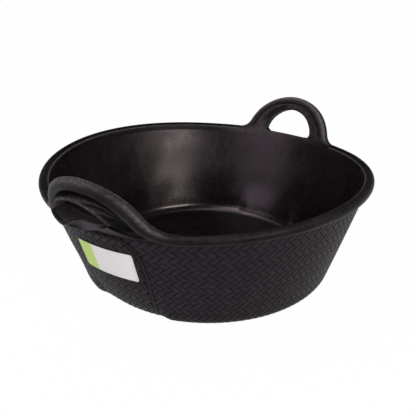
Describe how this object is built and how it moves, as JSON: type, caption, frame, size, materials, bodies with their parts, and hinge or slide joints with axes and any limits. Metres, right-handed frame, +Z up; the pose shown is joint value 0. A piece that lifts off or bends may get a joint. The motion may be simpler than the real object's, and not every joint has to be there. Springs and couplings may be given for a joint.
{
  "type": "rubber feed tub",
  "caption": "Low round open tub of black corded rubber with a plait-pressed outside, a rolled rim and leaning loop handles, for feed and water.",
  "frame": {"origin": "middle of the foot, on the ground", "axes": "+Z up out of the mouth, +X towards the handle without the label, -X towards the handle with the label; each handle stands 2 degrees round from that axis towards -Y"},
  "size_m": [0.4824, 0.45, 0.2068],
  "materials": {
    "cover_rubber": "matt, plait-pressed",
    "liner_rubber": "satin, smooth with a mottled bloom",
    "rim_rubber": "satin, worn on the edges",
    "cord_fabric": "rubberised woven cord",
    "rope_fibre": "twisted fibre",
    "label_film": "printed film, white with a lime green end"
  },
  "bodies": {
    "root": {"base_sole": "cover_rubber", "floor_cord_ply": "cord_fabric", "floor_liner": "liner_rubber", "wall_liner": "liner_rubber", "wall_cord_ply": "cord_fabric", "front_wall_cover": "cover_rubber", "rear_wall_cover": "cover_rubber", "left_handle_patch": "cover_rubber", "right_handle_patch": "cover_rubber", "front_rim_bead": "rim_rubber", "rear_rim_bead": "rim_rubber", "rim_rope": "rope_fibre", "left_handle_tongue": "liner_rubber", "right_handle_tongue": "liner_rubber", "left_handle_roll": "rim_rubber", "right_handle_roll": "rim_rubber", "left_handle_welt": "rim_rubber", "right_handle_welt": "rim_rubber", "label": "label_film"}
  },
  "joints": []
}
